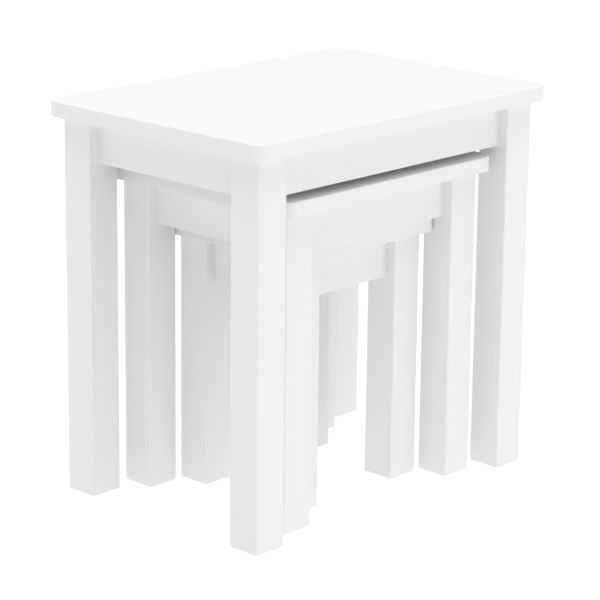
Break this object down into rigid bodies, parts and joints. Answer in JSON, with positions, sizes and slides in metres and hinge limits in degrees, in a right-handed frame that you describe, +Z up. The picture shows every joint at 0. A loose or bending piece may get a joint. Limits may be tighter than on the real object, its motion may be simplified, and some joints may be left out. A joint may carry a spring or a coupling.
{
  "type": "nesting tables",
  "caption": "Painted wooden side tables with rounded rectangular tops and square legs; each stands inside the next larger one and slides out from under it.",
  "frame": {"origin": "on the floor, under the middle of the large tabletop", "axes": "+Z up; X along the long sides; -Y the front, the side that the smaller tables are shown from"},
  "size_m": [0.5, 0.35, 0.48],
  "materials": {
    "painted_wood": "satin white paint",
    "bare_wood": "bare sawn softwood",
    "dowel_wood": "bare turned beech",
    "zinc_steel": "bright zinc plate",
    "yellow_zinc": "yellow zinc plate",
    "glide_plastic": "moulded nylon"
  },
  "bodies": {
    "large_table": {"large_top": "painted_wood", "large_leg_front_left": "painted_wood", "large_leg_front_right": "painted_wood", "large_leg_back_left": "painted_wood", "large_leg_back_right": "painted_wood", "large_apron_front": "painted_wood", "large_apron_back": "painted_wood", "large_apron_left": "painted_wood", "large_apron_right": "painted_wood", "large_corner_block_front_left": "bare_wood", "large_corner_block_front_right": "bare_wood", "large_corner_block_back_left": "bare_wood", "large_corner_block_back_right": "bare_wood", "large_hanger_bolts": "zinc_steel", "large_washers": "zinc_steel", "large_nuts": "zinc_steel", "large_dowels": "dowel_wood", "large_block_screws": "yellow_zinc", "large_top_screws": "yellow_zinc", "large_glides": "glide_plastic"},
    "medium_table": {"medium_top": "painted_wood", "medium_leg_front_left": "painted_wood", "medium_leg_front_right": "painted_wood", "medium_leg_back_left": "painted_wood", "medium_leg_back_right": "painted_wood", "medium_apron_front": "painted_wood", "medium_apron_back": "painted_wood", "medium_apron_left": "painted_wood", "medium_apron_right": "painted_wood", "medium_corner_block_front_left": "bare_wood", "medium_corner_block_front_right": "bare_wood", "medium_corner_block_back_left": "bare_wood", "medium_corner_block_back_right": "bare_wood", "medium_hanger_bolts": "zinc_steel", "medium_washers": "zinc_steel", "medium_nuts": "zinc_steel", "medium_dowels": "dowel_wood", "medium_block_screws": "yellow_zinc", "medium_top_screws": "yellow_zinc", "medium_glides": "glide_plastic"},
    "small_table": {"small_top": "painted_wood", "small_leg_front_left": "painted_wood", "small_leg_front_right": "painted_wood", "small_leg_back_left": "painted_wood", "small_leg_back_right": "painted_wood", "small_apron_front": "painted_wood", "small_apron_back": "painted_wood", "small_apron_left": "painted_wood", "small_apron_right": "painted_wood", "small_corner_block_front_left": "bare_wood", "small_corner_block_front_right": "bare_wood", "small_corner_block_back_left": "bare_wood", "small_corner_block_back_right": "bare_wood", "small_hanger_bolts": "zinc_steel", "small_washers": "zinc_steel", "small_nuts": "zinc_steel", "small_dowels": "dowel_wood", "small_block_screws": "yellow_zinc", "small_top_screws": "yellow_zinc", "small_glides": "glide_plastic"}
  },
  "joints": [
    {"name": "medium_table_slide", "type": "slide", "parent": "large_table", "child": "medium_table", "axis": [0, -1, 0], "range_m": [-0.36, 0.36]},
    {"name": "small_table_slide", "type": "slide", "parent": "large_table", "child": "small_table", "axis": [0, -1, 0], "range_m": [-0.66, 0.66]}
  ]
}
